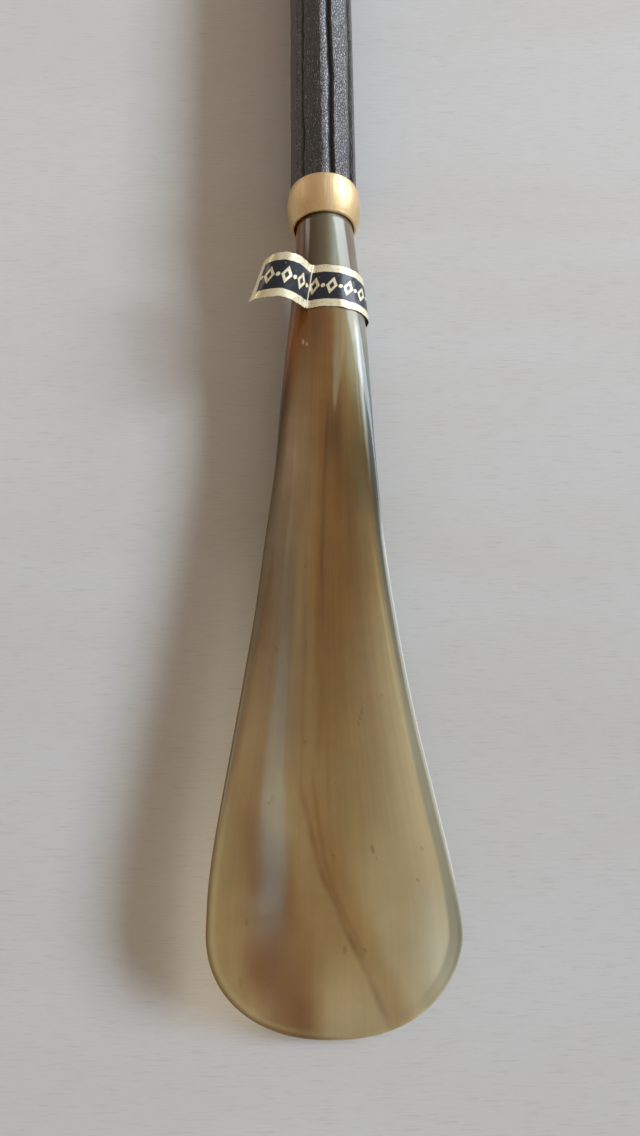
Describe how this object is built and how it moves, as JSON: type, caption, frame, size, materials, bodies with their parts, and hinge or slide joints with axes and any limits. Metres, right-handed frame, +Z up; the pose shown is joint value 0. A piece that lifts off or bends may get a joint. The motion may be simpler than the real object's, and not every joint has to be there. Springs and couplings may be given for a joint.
{
  "type": "long shoehorn",
  "caption": "Long-handled shoehorn: a polished horn scoop and neck, a brass collar, a ribbed leather-covered shaft, a horn end knob and a swinging leather hanging loop.",
  "frame": {"origin": "bottom centre of the whole object's box, as it lies on its back on a table with the hanging loop stretched out", "axes": "+Y along the shaft from the scoop's tip towards the hanging loop, +Z up, out of the scoop's hollow side, +X to the right when looking along +Y"},
  "size_m": [0.0489, 0.6739, 0.0232],
  "materials": {
    "horn": "polished natural horn",
    "steel": "threaded, zinc plated",
    "brass": "satin, brushed lengthwise",
    "label": "metal-foil face on paper",
    "core_wood": "bare",
    "cover_leather": "grained, waxed",
    "cord_leather": "round thong, waxed"
  },
  "bodies": {
    "shoehorn": {"horn_blade": "horn", "blade_stud": "steel", "lower_collar": "brass", "foil_label": "label", "shaft_core": "core_wood", "shaft_cover": "cover_leather", "upper_collar": "brass", "finial_stud": "steel", "horn_finial": "horn"},
    "loop": {"hanging_cord": "cord_leather", "cord_clasp": "brass"}
  },
  "joints": [
    {"name": "loop_swing", "type": "hinge", "parent": "shoehorn", "child": "loop", "pos_m": [0, 0.26278, 0.0116], "axis": [1, 0, 0], "range_deg": [-156, 170]}
  ]
}
